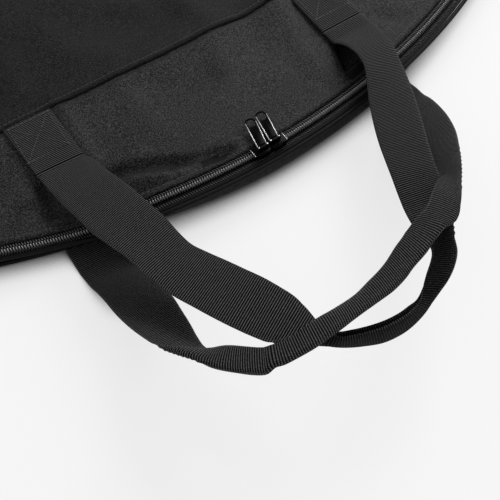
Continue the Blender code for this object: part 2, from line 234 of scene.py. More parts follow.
def wovenStrap(name, settings):
    # Polypropylene webbing: cross ribs are in the mesh, and the yarns along them are here. The
    # UV map is in metres, along the strap and across it.
    made, tree, shader = blankMaterial(name)
    at = millimetres(tree, addNode(tree, "ShaderNodeUVMap", uv_map="UVMap").outputs[0])
    along, over, _ = addNode(tree, "ShaderNodeSeparateXYZ", [at]).outputs
    folded = addNode(tree, "ShaderNodeAttribute", attribute_name="gripPaintedLight").outputs["Fac"]
    speckle = addNode(tree, "ShaderNodeTexNoise",
                      {"Vector": at, "Scale": 1 / settings["speckle"], "Detail": 2})
    parts = {"along": along, "over": over, "folded": folded, "speckle": speckle}
    # Each row is a Math node: what it makes, its operation, and numbers or earlier rows. Where
    # the webbing is folded for the hand, its ribs stand out less. The rib crests are painted
    # lighter and the grooves darker, a painted shade of the ribs' relief.
    for result, operation, *values in (
            ("ribTurns", "MULTIPLY", "along", 2 * math.pi / settings["rib"]),
            ("ribWave", "COSINE", "ribTurns"),
            ("foldShare", "ABSOLUTE", "folded"),
            ("swing", "MULTIPLY_ADD", "foldShare", -0.3, 0.58),
            ("rib", "MULTIPLY_ADD", "ribWave", "swing", 0.5),
            ("ridge", "MAXIMUM", "rib", 0),
            ("crest", "POWER", "ridge", 2),
            ("lean", "MULTIPLY_ADD", "along", 0.5, "over"),
            ("yarnTurns", "MULTIPLY", "lean", 2 * math.pi / settings["yarn"]),
            ("yarnWave", "SINE", "yarnTurns"),
            ("yarnTone", "MULTIPLY_ADD", "yarnWave", 0.35, 1.15),
            ("yarnRelief", "MULTIPLY_ADD", "yarnWave", 0.5, 1.1),
            # Painted highlight: a thin strip along one edge of the webbing is made lighter
            ("edgeHighlight", "GREATER_THAN", "over", handleWeb["width"] - handleWeb["edgeHighlight"]),
            # Painted shade: the rib crests lighter, the grooves darker
            ("tone", "MULTIPLY_ADD", "crest", "yarnTone", -0.73),
            ("tone", "MULTIPLY_ADD", "speckle", 0.9, "tone"),
            # Painted shade and light: the front grip darker, the back grip lighter
            ("tone", "MULTIPLY_ADD", "folded", 0.17, "tone"),
            ("tone", "MULTIPLY_ADD", "edgeHighlight", 0.3, "tone"),
            ("relief", "MULTIPLY", "rib", "yarnRelief")):
        values = [parts.get(value, value) for value in values]
        parts[result] = addNode(tree, "ShaderNodeMath", values, operation=operation)
    parts["tone"].use_clamp = True
    dressShader(shader, parts["tone"], parts["relief"], 0.7, settings)
    return made


def plainFinish(name, settings):
    # Nylon, thread and metal: fine moulding or casting marks, and a slow change of tone
    made, tree, shader = blankMaterial(name)
    grain = addNode(tree, "ShaderNodeTexNoise",
                    {"Vector": millimetres(tree), "Scale": 1 / settings["grain"], "Detail": 3})
    dressShader(shader, grain, grain, 0.3, settings)
    rough = addNode(tree, "ShaderNodeMapRange", {"Value": grain, "To Min": settings["rough"] * 0.8,
                                                 "To Max": settings["rough"] * 1.25})
    setInputs(shader, {"Roughness": rough})
    return made


bagWeave = {"yarn": 0.62, "speckle": 0.6, "grain": 4.8, "cloud": 34, "relief": 0.2,
            "roughness": 0.5}
oxford = wovenCloth("blackOxfordCloth", {
    **bagWeave, "dark": "#040404", "light": "#3e3e3e", "specular": 0.12})
# The large panel and the gussets use a slightly darker copy of the same cloth; on the
# gussets the darker tone is painted shade under the rim
darkOxford = wovenCloth("darkerOxfordCloth", {
    **bagWeave, "dark": "#020202", "light": "#2a2a2a", "specular": 0.09})
# Fine flat yarns, woven close: darker and calmer than the cloth
zipTape = wovenCloth("wovenZipTape", {
    "yarn": 0.4, "speckle": 0.7, "grain": 3.4, "cloud": 20, "relief": 0.07, "dark": "#020202",
    "light": "#121212", "roughness": 0.6, "specular": 0.12})
webbing = wovenStrap("ribbedPolypropyleneWebbing", {
    "rib": handleWeb["rib"], "yarn": 0.56, "speckle": 0.8, "relief": 0.5, "dark": "#000000",
    "light": "#606060", "roughness": 0.5, "specular": 0.06})
# Drawn nylon wire: smooth and glossy. Its pale grey is a painted highlight on the black coil
highlitCoilNylon = plainFinish("drawnNylonCoil", {
    "dark": "#565656", "light": "#949494", "grain": 0.8, "relief": 0.01, "rough": 0.15, "ior": 2.1})
# Bonded polyester thread: a little shinier than the cloth it lies on
thread = plainFinish("bondedPolyesterThread", {
    "dark": "#181818", "light": "#4a4a4a", "grain": 0.4, "relief": 0.03, "rough": 0.42, "ior": 1.5})
# The inner tape's thread is painted paler than the other thread, a painted highlight
highlitThread = plainFinish("highlitPolyesterThread", {
    "dark": "#2c2c2c", "light": "#5a5a5a", "grain": 0.5, "relief": 0.02, "rough": 0.35,
    "ior": 1.55})
# Die-cast zinc under black lacquer: glossy, with soft casting marks
lacquer = plainFinish("lacqueredZinc", {
    "dark": "#010101", "light": "#040404", "grain": 2.2, "relief": 0.005, "rough": 0.2, "ior": 1.1})
# Nickel plate: bright, with fine rubbing marks. On the pulls' rails and the crowns' beads it is
# a painted highlight on the black lacquer's edges
nickel = plainFinish("nickelPlateAndGlint", {
    "dark": "#7c7c7c", "light": "#c4c4c2", "grain": 1.2, "relief": 0.02, "rough": 0.22,
    "metallic": 1})
# Black nickel on the crowns: dark, with a few small bright reflections
blackNickel = plainFinish("blackNickelPlate", {
    "dark": "#101010", "light": "#2a2a2a", "grain": 1.2, "relief": 0.01, "rough": 0.12,
    "metallic": 1})
print("wheel bag: materials made")

# Cloth panels. The heights are those of the CAD layers, and the drape adds the creases.
bag = {"panelEdge": 389.3, "rim": 398.7, "backRim": 389.6, "seam": -313.5, "yokeTop": 18.7,
       "mainTop": 20.2, "hemOverlap": 10, "cloth": 1.2, "hinge": 196.75, "sag": 5.0, "drawIn": 5.2,
       "stitchLine": 3.0, "stitchPitch": 2.5}
# Each crease: its line in millimetres, height, and how wide it is on its left and right
creases = [
    ([(-78, -362), (-60, -364), (-51, -367), (-40, -372), (-30, -378), (-17, -382.5)],
     -4.6, 2, 6.5),
    ([(-58, -384), (-47, -385), (-36, -386), (-22, -386.5), (-9, -385.5)], -3.2, 2.4, 2),
    ([(-64, -370), (-54, -374.5), (-45, -379)], 3.2, 4.5, 4),
    ([(-36, -380.5), (-24, -381.5), (-8, -380.5)], 2.4, 3, 4),
    ([(-66, -316), (-66.5, -332), (-68, -344), (-66, -354)], 1.5, 4, 6),
    ([(-33, -321), (-35, -335), (-33, -346), (-30, -357)], 0.8, 6, 8),
    ([(-21, -328), (-10, -336), (4, -338)], -1.4, 9, 9),
    ([(20, -318), (16, -338), (10, -358)], 0.9, 7, 8),
    ([(45, -309), (43, -326), (39, -340)], -1.3, 7, 8),
    ([(64, -313), (61, -333), (56, -352), (55, -368)], 1.8, 6, 7),
    ([(37, -381), (44, -380.5)], -0.7, 1.8, 1.8),
    ([(50, -380), (55, -378.5)], -0.6, 1.8, 1.8),
    ([(75.5, -357), (73, -364), (71, -370), (69, -377), (66.5, -383)], -8, 9, 2.8),
    ([(-94, -352), (-94.5, -363), (-93, -378)], -4, 4, 5),
    ([(-98, -366), (-105, -358), (-112, -360), (-121, -367)], -1.2, 2.5, 2.5),
    ([(-100, -352), (-112, -352), (-126, -358)], 1.1, 4, 4),
    ([(-134, -352), (-142, -361)], -0.8, 3, 3),
    ([(110, -374), (124, -370), (142, -362), (160, -355)], 1.2, 4, 7),
    ([(104, -352), (112, -362), (128, -364)], -1.2, 4, 5),
    ([(-20, -276), (-2, -291), (10, -290)], -1.6, 9, 9),
    ([(-77, -270), (-80, -296)], 1.1, 7, 7),
    ([(-52, -262), (-48, -283), (-30, -300)], 1.3, 8, 10),
    ([(28, -262), (20, -284), (26, -304)], 1.2, 7, 9),
    ([(-190, -60), (-120, 20), (-20, 60), (110, 40)], -2.6, 12, 20),
    ([(-60, 190), (-10, 120), (90, 60), (210, 40)], 2.2, 14, 20),
    ([(40, -180), (70, -90), (60, 20)], -1.8, 9, 14),
    ([(-150, -190), (-90, -110), (-70, -20)], 1.8, 12, 14),
    ([(180, -150), (230, -60), (250, 40)], -2, 12, 14),
    ([(-280, 30), (-240, 120), (-160, 190)], -1.8, 10, 16),
]


def creaseHeight(x, y, line, height, leftWidth, rightWidth):
    best = np.full(np.shape(x), 1e9)
    side = np.zeros(np.shape(x))
    for (ax, ay), (bx, by) in zip(line, line[1:]):
        dx, dy = bx - ax, by - ay
        t = np.clip(((x - ax) * dx + (y - ay) * dy) / (dx * dx + dy * dy), 0, 1)
        gapX, gapY = x - ax - t * dx, y - ay - t * dy
        gap = np.hypot(gapX, gapY)
        nearer = gap < best
        best = np.where(nearer, gap, best)
        side = np.where(nearer, dx * gapY - dy * gapX, side)
    width = np.where(side > 0, leftWidth, rightWidth)
    return height * np.exp(-(best / width) ** 2)


def sagShare(turns):
    # Beside the left handle the empty rim sags, and its outer side draws in
    return smoothStep((-turns - 7) / 6) * (1 - smoothStep((-turns - 12) / 14))


def drawShare(turns):
    return smoothStep((-turns - 8.5) / 7) * (1 - smoothStep((-turns - 27) / 14))


def saggedRim(r, z, a):
    outside = float(smoothStep((r - 394) / 4.6) * drawShare(a))
    return r - bag["drawIn"] * outside, z - bag["sag"] * float(sagShare(a)) - outside


def drape(x, y):
    radius = np.hypot(x, y)
    inside = bag["panelEdge"] - radius
    z = 0.0
    for height, size, layer in ((1.0, 95, 0.3), (0.5, 33, 7.1), (0.16, 11, 3.7)):
        z = z + height * softNoise(x / size, y / size, layer)
    z = z - 3.0 * smoothStep(inside / 330)
    for crease in creases:
        z = z + creaseHeight(x, y, *crease)
    pucker = 0.32 * softNoise(x / 7, y / 7, 11.0) * np.exp(-((inside - 5) / 5) ** 2)
    z = (z + pucker) * smoothStep(inside / 8)
    deepest = -1.5 - 30 * smoothStep((inside - 7.5) / 12)     # the zip's tape lies under the edge
    sag = bag["sag"] * sagShare(np.degrees(np.arctan2(x, -y))) * smoothStep((radius - 335) / 55)
    return np.maximum(z, deepest) - sag


def edgeRoll(inside):
    # A turned and sewn edge: it rolls over at the fold, swells, and dips under the stitches
    roll = -1.0 * (1 - np.clip(inside / 1.6, 0, 1)) ** 2
    swell = 0.3 * np.exp(-((inside - 1.5) / 1.0) ** 2) - 0.28 * np.exp(-((inside - 3.0) / 0.6) ** 2)
    return roll + swell


edgeSteps = np.array([0, 0.35, 0.9, 1.6, 2.3, 3.0, 3.7, 4.8])


def overCloth(xs, ys, top, shape):
    return list(zip(xs, ys, top + shape(xs, ys)))


def clothSheet(name, rows, thickness, finish):
    # A grid of points in millimetres, thickened downwards. Also gives its flat area.
    wide = len(rows[0])
    faces = [(i * wide + j, i * wide + j + 1, (i + 1) * wide + j + 1, (i + 1) * wide + j)
             for i in range(len(rows) - 1) for j in range(wide - 1)]
    points = [(x * mm, y * mm, z * mm) for row in rows for x, y, z in row]
    piece = addPiece(name, points, faces, finish)
    wall = piece.modifiers.new("thickness", "SOLIDIFY")
    wall.thickness, wall.offset = thickness * mm, -1
    outline = [*rows[0], *[row[-1] for row in rows], *rows[-1][::-1]]
    outline += [row[0] for row in rows[::-1]]
    area = sum(a[0] * b[1] - b[0] * a[1] for a, b in zip(outline, outline[1:])) / 2 * mm**2
    return abs(area), applyModifiers(piece)


def rowPanel(name, rowYs, edgeAt, columns, top, thickness, shape, finish):
    rows = []
    for y in rowYs:
        half = edgeAt(y)
        edge = edgeSteps * min(1, half / 24)
        inner = np.linspace(edge[-1] - half, half - edge[-1], columns)[1:-1]
        xs = np.concatenate([edge - half, inner, (half - edge)[::-1]])
        rows.append(overCloth(xs, np.full(len(xs), y), top, shape))
    return clothSheet(name, rows, thickness, finish)


def frontEdgeAt(y):
    # The panel's edge follows the zip, and widens to the rim behind the zip's ends
    radius = bag["panelEdge"] + (bag["rim"] - bag["panelEdge"]) * float(
        smoothStep((y - bag["hinge"] + 14) / 26))
    return radius, math.sqrt(max(radius**2 - y**2, 0.01))


def frontMainShape(x, y):
    inside = np.minimum(frontEdgeAt(float(y[0]))[0] - np.hypot(x, y), y - bag["seam"])
    tail = smoothStep((y - bag["hinge"] + 5) / 30)
    z = drape(x, y) * (1 - tail) - 1.5 * tail * smoothStep((bag["rim"] - np.hypot(x, y)) / 60)
    return z + edgeRoll(inside) + 0.2 * smoothStep((bag["seam"] + 10.5 - y) / 1.2)


# The rows lie closest where the photograph looks, and where the cover folds
hemRows = [bag["seam"] + s for s in (0, 0.35, 0.9, 1.6, 2.3, 3.0, 3.7, 5, 7, 9, 9.8, 10.6, 11.6)]
seenRows = list(np.arange(hemRows[-1] + 2, -215, 2.2))
farRows = list(np.arange(seenRows[-1] + 5, bag["hinge"] - 14, 5.5))
foldRows = list(np.arange(bag["hinge"] - 13, bag["hinge"] + 14, 1.8))
backRows = list(np.arange(foldRows[-1] + 5, 345, 6))
capRows = [bag["rim"] * math.cos(math.radians(a))
           for a in (27, 23, 19, 15.5, 12, 9, 6.5, 4.5, 3, 1.8)]
frontArea, frontPanel = rowPanel(
    "frontPanel", hemRows + seenRows + farRows + foldRows + backRows + capRows,
    lambda y: frontEdgeAt(y)[1], 190, bag["mainTop"], bag["cloth"], frontMainShape, darkOxford)
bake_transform(frontPanel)
place(frontPanel, None, "shell_cloth", "front_main_panel", "front_tail_panel")

yokeTopY = bag["seam"] + bag["hemOverlap"]


def columnPanel(name, radius, spacing, rowsInside, top, thickness, shape, finish):
    reach = math.sqrt(radius**2 - yokeTopY**2) - 0.6
    count = round(2 * reach / spacing)
    columns = []
    for k in range(count + 1):
        x = -reach + 2 * reach * k / count
        low = -math.sqrt(radius**2 - x**2)
        edge = edgeSteps * min(1, (yokeTopY - low) / 12)
        ys = np.concatenate([low + edge, np.linspace(low + edge[-1], yokeTopY, rowsInside)[1:]])
        columns.append(overCloth(np.full(len(ys), x), ys, top, shape))
    return clothSheet(name, list(zip(*columns)), thickness, finish)


def frontYokeShape(x, y):
    inside = bag["panelEdge"] - np.hypot(x, y)
    pucker = 1.1 * np.exp(-((y - bag["seam"] + 4.2) / 3) ** 2) * smoothStep(inside / 8)
    return drape(x, y) + edgeRoll(inside) + pucker


yokeArea, yokePanel = columnPanel("frontYoke", bag["panelEdge"], 1.5, 46, bag["yokeTop"],
                                  bag["cloth"], frontYokeShape, oxford)
place(yokePanel, "front_cover", "shell_cloth", "front_yoke_panel")


# The back panels lie on the floor, so only their inner faces crease


def backMainShape(x, y):
    inside = np.minimum(bag["backRim"] - np.hypot(x, y), y - bag["seam"])
    return 0.25 * softNoise(x / 60, y / 60, 21) * smoothStep(inside / 10) + 0.2 * edgeRoll(inside)


def backYokeShape(x, y):
    inside = bag["backRim"] - np.hypot(x, y)
    return 0.2 * softNoise(x / 40, y / 40, 27) * smoothStep(inside / 10) + 0.3 * edgeRoll(inside)


plainRows = list(np.arange(hemRows[-1] + 5, 345, 7))
backCapRows = [row * bag["backRim"] / bag["rim"] for row in capRows]
backArea, backPanel = rowPanel(
    "backPanel", hemRows + plainRows + backCapRows,
    lambda y: math.sqrt(max(bag["backRim"]**2 - y**2, 0.01)), 110, bag["cloth"], bag["cloth"] - 0.2,
    backMainShape, oxford)
place(backPanel, "base", "shell_cloth", "back_main_panel")
backYokeArea, backYoke = columnPanel("backYoke", bag["backRim"] - 1.5, 4, 24, 3.3,
                                     bag["cloth"] - 0.1, backYokeShape, oxford)
place(backYoke, "base", "shell_cloth", "back_yoke_panel")
print("wheel bag: panels draped")

# Tapes, gusset, pipings and bindings follow the rim


def ringPiece(name, profile, start, end, finish, body, slotName, node, wobble=None, step=1.0,
              closed=False):
    # profile holds (radius, height) points in order round the section, and wobble shifts them
    count = max(2, round(abs(end - start) / step))
    angles = [start + (end - start) * k / count for k in range(count + (0 if closed else 1))]
    points = []
    for a in angles:
        turn = math.radians(a)
        for r, z in profile:
            if wobble:
                r, z = wobble(r, z, a)
            points.append((r * math.sin(turn) * mm, -r * math.cos(turn) * mm, z * mm))
    item = addPiece(name, points, tubeFaces(len(angles), len(profile), closed), finish)
    faceOut(item)
    item.data.set_sharp_from_angle(angle=math.radians(50))
    place(item, body, slotName, node)


def stripProfile(inner, outer, low, high, soft=0.2):
    # A flat strip with soft edges
    return [(inner + soft, low), (outer - soft, low), (outer, low + soft), (outer, high - soft),
            (outer - soft, high), (inner + soft, high), (inner, high - soft), (inner, low + soft)]


def circle(radius, count, x=0, y=0):
    return [(x + radius * math.cos(2 * math.pi * k / count),
             y + radius * math.sin(2 * math.pi * k / count)) for k in range(count)]


gusset = {"outer": 398.5, "wall": 1.1, "low": 1.4, "high": 16.25, "rows": 10, "leanIn": 8.8,
          "bulge": 1.8}


def slackGusset(r, z, a):
    # Empty, the strip leans in under the rim to the back panel's edge, in slow waves
    share = min(max((z - gusset["low"]) / 14.8, 0), 1)
    turn = math.radians(a)
    wave = noise.noise((6 * math.sin(turn), 6 * math.cos(turn), 5.0))
    a = (a + 180) % 360 - 180
    # Between the handles it bulges out instead, and tucks under at the bottom
    full = float(smoothStep((a + 20) / 22) * (1 - smoothStep((a - 10) / 16)))
    fold = (1 - full) * (2.4 + 1.6 * wave) * math.sin(math.pi * share) ** 2
    fold -= gusset["bulge"] * full * math.sin(math.pi * share**0.6)
    tuck = (1 - full) * float(smoothStep(1 - share)) + full * (1 - share) ** 6
    drawn, sagged = (share * float(f(a)) for f in (drawShare, sagShare))
    inward = gusset["leanIn"] * tuck + fold + bag["drawIn"] * drawn
    return r - inward, z - bag["sag"] * sagged - drawn


for word, low, high, end, body in (("inner", 382, 392.9, 118, "front_cover"),
                                   ("outer", 394.1, 398.7, 119, "base")):
    ringPiece(word + "Tape", stripProfile(low, high, 16.6, 17.25), -end, end, zipTape, body,
              "zip_tape", "zipper_tape_" + word, wobble=saggedRim)
gussetZs = np.linspace(gusset["low"], gusset["high"], gusset["rows"] + 1)
gussetWall = [(gusset["outer"], z) for z in gussetZs]
gussetWall += [(gusset["outer"] - gusset["wall"], z) for z in gussetZs[::-1]]
# The gussets take the darker cloth as painted shade under the rim
for word, start, end in (("left", -120, -0.02), ("right", 0.02, 120), ("rear", 120.05, 239.95)):
    ringPiece(word + "Gusset", gussetWall, start, end, darkOxford, "base", "shell_cloth",
              "gusset_" + word + "_strip", wobble=slackGusset)
for word, radius, height, wobble in (("front", 400.2, 16.9, saggedRim), ("back", 391.1, 2.4, None)):
    ringPiece(word + "Piping", circle(1.18, 12, radius, height), -180, 180, zipTape, "base",
              "shell_cloth", word + "_piping", wobble=wobble, closed=True)


def seamAngle(y, radius):
    # Where a seam at this y meets a ring of this radius, in degrees from the handles
    return math.degrees(math.acos(-y / radius))


for word, section, start in (("back", (378, 388.4, 1.6, 3.2), seamAngle(-303.2, 389.6)),
                             ("tail", (383.3, 398.6, 16.65, 18.6), seamAngle(197.6, 383.3))):
    ringPiece(word + "SeamBinding", stripProfile(*section, 0.4), start + 0.1, 359.9 - start,
              zipTape, "base", "zip_tape", word + "_seam_binding")
bindSpan = (seamAngle(-303.2, 389.3) + 0.1, seamAngle(196.2, 389.3))
for side, word in ((-1, "Left"), (1, "Right")):
    ringPiece("frontBinding" + word, stripProfile(383.4, 388.6, 17.45, 18.4),
              *sorted(side * a for a in bindSpan), zipTape, "front_cover", "zip_tape",
              "front_seam_binding_" + word.lower(), wobble=saggedRim)
    ringPiece("zipEndTab" + word, stripProfile(394.2, 398.6, 17.5, 18.7, 0.35),
              *sorted((side * 117.06, side * 118.6)), zipTape, "base", "zip_tape",
              "zip_end_tab_" + word.lower(), step=0.2)
print("wheel bag: rim made")

# What repeats along a path: zip teeth and stitches


def buildRepeatTree():
    tree = bpy.data.node_groups.new("repeatAlongPath", "GeometryNodeTree")
    face = tree.interface
    for name, kind in (("Geometry", "Geometry"), ("Path", "Object"), ("Shape", "Object"),
                       ("Pitch", "Float"), ("Uneven", "Float"), ("Seed", "Int"),
                       ("Finish", "Material")):
        face.new_socket(name, in_out="INPUT", socket_type="NodeSocket" + kind)
    face.new_socket("Geometry", in_out="OUTPUT", socket_type="NodeSocketGeometry")
    given = addNode(tree, "NodeGroupInput").outputs
    path, shape = (
        addNode(tree, "GeometryNodeObjectInfo", {"Object": given[name]}).outputs["Geometry"]
        for name in ("Path", "Shape"))
    dots = addNode(tree, "GeometryNodeCurveToPoints", {"Curve": path, "Length": given["Pitch"]},
                   mode="LENGTH")
    turned = addNode(tree, "FunctionNodeAlignRotationToVector", {"Vector": dots.outputs["Tangent"]},
                     axis="X", pivot_axis="Z")
    least, most = (addNode(tree, "ShaderNodeMath", [1, given["Uneven"]], operation=operation)
                   for operation in ("SUBTRACT", "ADD"))
    spread = addNode(tree, "FunctionNodeRandomValue", {2: least, 3: most, "Seed": given["Seed"]},
                     data_type="FLOAT").outputs[1]
    copies = addNode(tree, "GeometryNodeInstanceOnPoints", {
        "Points": dots, "Instance": shape, "Rotation": turned, "Scale": spread})
    real = addNode(tree, "GeometryNodeRealizeInstances", [copies])
    painted = addNode(tree, "GeometryNodeSetMaterial", {"Geometry": real,
                                                        "Material": given["Finish"]})
    addNode(tree, "NodeGroupOutput", [painted])
    return tree


repeatTree = buildRepeatTree()


def repeatAlong(name, paths, shape, pitch, finish, uneven, seed, body, slotName, *nodes):
    curve = bpy.data.curves.new(name + "Path", "CURVE")
    curve.dimensions = "3D"
    addSplines(curve, [[(x * mm, y * mm, z * mm) for x, y, z in path] for path in paths])
    guide = addObject(name + "Path", curve)
    holder = addObject(name, bpy.data.meshes.new(name))
    layer = holder.modifiers.new("repeat", "NODES")
    layer.node_group = repeatTree
    given = {"Path": guide, "Shape": shape, "Pitch": pitch * mm, "Uneven": uneven, "Seed": seed,
             "Finish": finish}
    for socket in repeatTree.interface.items_tree:
        if socket.in_out == "INPUT" and socket.name in given:
            layer[socket.identifier] = given[socket.name]
    applyModifiers(holder)
    holder.data.shade_smooth()
    bpy.data.objects.remove(guide, do_unlink=True)
    place(holder, body, slotName, *nodes)


def wireShape(name, path, radius, sides=6):
    # A short bent wire with rounded ends, to be copied and then removed
    points = []
    places = [Vector(p) for p in path]
    for i, centre in enumerate(places):
        along = (places[min(i + 1, len(places) - 1)] - places[max(i - 1, 0)]).normalized()
        side = along.cross(Vector((0, 0, 1)))
        side = side.normalized() if side.length > 0.05 else Vector((0, 1, 0))
        over = side.cross(along)
        size = radius * (0.55 if i in (0, len(places) - 1) else 1)
        points += [(centre + (side * a + over * b) * size) * mm for a, b in circle(1, sides)]
    item = addPiece(name, points, tubeFaces(len(places), sides), thread)
    faceOut(item)
    return item


def arcPath(radius, height, start, end, step=0.5):
    count = max(2, round(abs(end - start) / step))
    turns = [math.radians(start + (end - start) * k / count) for k in range(count + 1)]
    rims = [saggedRim(radius, height, math.degrees(t)) for t in turns]
    return [(r * math.sin(t), -r * math.cos(t), z) for t, (r, z) in zip(turns, rims)]


zipRow = {"pitch": 1.27, "wire": 0.26, "end": 116.9, "inner": 392.9, "outer": 394.1,
          "height": 17.45}
# A tooth is a loop of wire round the cord: two legs and a head that meets the other side's
tooth = wireShape("toothShape", [
    (0.1, -0.5, 0.3), (0.1, -0.45, 1.2), (0.04, -0.1, 1.9), (0.0, 0.25, 2.0), (-0.03, 0.52, 1.6),
    (-0.08, 0.6, 0.95), (-0.1, 0.2, 0.42), (-0.1, -0.45, 0.3)], zipRow["wire"])
path = arcPath(zipRow["inner"], zipRow["height"], -zipRow["end"], zipRow["end"])
# The inner row's pale finish is a painted highlight; the outer row takes the darker thread
repeatAlong("innerCoil", [path], tooth, zipRow["pitch"], highlitCoilNylon, 0.02, 3, "front_cover",
            "zip_coil", "zipper_coil_inner")
# The path runs the same way on both sides, so the outer tooth is the mirrored one. The outer
# teeth stand half a pitch on, between the inner ones.
outerTooth = wireShape("outerToothShape", [
    (0.14, 1.3, 0.3), (0.12, 1.2, 0.9), (0.06, 0.85, 1.35), (0.0, 0.3, 1.4), (-0.03, -0.1, 1.1),
    (-0.08, -0.2, 0.8), (-0.12, 0.1, 0.42), (-0.14, 1.1, 0.3)], zipRow["wire"] * 0.9)
halfTooth = math.degrees(zipRow["pitch"] / 2 / zipRow["outer"])
path = arcPath(zipRow["outer"], zipRow["height"], halfTooth - zipRow["end"], zipRow["end"])
repeatAlong("outerCoil", [path], outerTooth, zipRow["pitch"] * zipRow["outer"] / zipRow["inner"],
            thread, 0.02, 5, "base", "zip_coil", "zipper_coil_outer")

tapeStitch = wireShape("tapeStitchShape", [
    (-0.4, 0.9, 0), (-0.18, 0.45, 0.22), (0.18, -0.45, 0.22), (0.4, -0.9, 0)], 0.19)
# The inner tape's stitches take the paler thread as a painted highlight
for name, radius, height, finish, seed, body in (
        ("tapeStitches", 390.5, 17.75, highlitThread, 9, "front_cover"),
        ("outerTapeStitches", 396.3, 17.3, thread, 10, "base")):
    repeatAlong(name, [arcPath(radius, height, -zipRow["end"], zipRow["end"])], tapeStitch,
                zipRow["pitch"], finish, 0.08, seed, body, "zip_tape")

stitch = wireShape("stitchShape", [
    (-1, 0, -0.12), (-0.7, 0, 0.08), (0, 0, 0.14), (0.7, 0, 0.08), (1, 0, -0.12)], 0.17)
stitchRadius = bag["panelEdge"] - bag["stitchLine"]
hemY = bag["seam"] + bag["stitchLine"]


def onMain(xs, ys):
    # One point at a time, because the panel's edge is worked out for each row
    return [overCloth(np.array([a]), np.array([b]), bag["mainTop"], frontMainShape)[0]
            for a, b in zip(xs, ys)]


hemReach = math.sqrt(bag["panelEdge"]**2 - hemY**2) - 3
hemXs = np.arange(-hemReach, hemReach, 2)
hemAngle = seamAngle(hemY, stitchRadius)
sewnLines = [onMain(hemXs, np.full(len(hemXs), hemY))]
for side in (-1, 1):
    last = seamAngle(bag["hinge"] - 16, stitchRadius)
    xs, ys, _ = zip(*arcPath(stitchRadius, 0, side * (hemAngle + 0.6), side * last))
    sewnLines.append(onMain(xs, ys))
repeatAlong("mainStitches", sewnLines, stitch, bag["stitchPitch"], thread, 0.06, 12, "front_cover",
            "shell_cloth")
xs, ys, _ = np.array(arcPath(stitchRadius, 0, 1.2 - hemAngle, hemAngle - 1.2)).T
repeatAlong("yokeStitches", [overCloth(xs, ys, bag["yokeTop"], frontYokeShape)], stitch,
            bag["stitchPitch"], thread, 0.06, 13, "front_cover", "shell_cloth")
print("wheel bag: zip and stitches made")

# Handles. Each row is a station along the strap, in millimetres: its outer edge and its inner
# edge, and where it is folded, how much of the webbing lies flat. The rest is folded back over it.
frontHandle = {"middle": 84, "height": 19.75, "crease": (1.0, 0.8, 0), "shade": -1.0, "stations": [
    (-94.3, -348.3, 20.2, -70.2, -349.3, 20.2), (-93.2, -360, 22.4, -67.7, -358.1, 23.6),
    (-92, -370.8, 24.3, -66.6, -368.4, 27.7), (-90.2, -381.1, 26.4, -64.4, -378.7, 30.6),
    (-88.5, -393.4, 29.3, -62.5, -388.7, 32.7), (-85.9, -404.4, 32.5, -60.8, -399.2, 33.5),
    (-83.1, -414.4, 35.3, -59, -407.2, 33.7), (-80.7, -426, 37.9, -57.9, -418.9, 34.1),
    (-78.4, -435.3, 39.2, -56.6, -426.6, 34.8), (-76.2, -444.3, 40.5, -53.6, -433.8, 36.5),
    (-72.3, -453.2, 41.5, -49.9, -442, 38.5), (-68.4, -461.7, 42.2, -46, -450.3, 39.8),
    (-64.4, -469.9, 43.3, -42.3, -457.6, 40.7), (-60.2, -477.3, 43.8, -38.7, -465.1, 40.2),
    (-56, -483.2, 44.3, -35.7, -472, 39.7, 24), (-50.9, -487.1, 44.2, -34.6, -478.5, 39.8, 20),
    (-46.4, -490.6, 43.2, -34.8, -484.5, 40.8, 15.5),
    (-40.8, -493.4, 41.2, -34.3, -490.7, 42.8, 12.5),
    (-35.4, -496.4, 39.8, -32.8, -495.3, 45.2, 12.5),
    (-30, -499.7, 39.1, -29.8, -497.7, 46.9, 12.5),
    (-24.5, -502.6, 38.6, -24.8, -499.8, 47.4, 12.5),
    (-18.8, -505.2, 39.1, -19.7, -501.5, 47.9, 12.5),
    (-13.1, -506.4, 39.8, -14.8, -502.5, 48.2, 12.5),
    (-7.3, -506.8, 40.9, -9.2, -502.8, 48.1, 12.5), (-0.9, -505.9, 42.4, -4.3, -502.3, 47.6, 12.5),
    (5.2, -504.2, 43.9, 0.5, -501.2, 46.1, 12.5), (10.9, -502.6, 46.1, 5.4, -498.2, 44.9, 12.5),
    (16.2, -500.5, 48.1, 11.2, -494.7, 43.9, 12.5), (21, -497.6, 49.1, 16.3, -491.6, 42.9, 12.5),
    (25.2, -493.8, 49.7, 20.2, -488.4, 42.3, 12.5), (28.3, -489.4, 48.9, 22.6, -484.2, 41.1, 12.5),
    (32.6, -484.6, 47.4, 24.1, -479.2, 39.6, 14), (37.3, -478.6, 45.8, 24.2, -473.7, 38.2, 17),
    (42.2, -471.4, 43.5, 27, -464.3, 36.5, 21), (47.2, -462.8, 42.3, 30.4, -455.7, 35.7),
    (50.3, -455.6, 41.7, 34.4, -446.1, 35.3), (55.7, -446, 39.8, 39.2, -435.8, 33.2),
    (61.8, -436.1, 37.6, 44, -425.9, 31.4), (69.4, -423.9, 34.3, 50, -415, 29.7),
    (76.9, -411.9, 30.5, 56.1, -404.4, 29.5), (83, -401, 27.1, 61.3, -395.8, 30.9),
    (88.3, -389.7, 25.2, 65.9, -387.2, 32.8), (93, -377.8, 24.3, 67.9, -379, 32.7),
    (95.5, -367, 22.4, 69.5, -368, 28.6), (96.7, -356.7, 20.4, 70.8, -357.5, 20.4),
]}
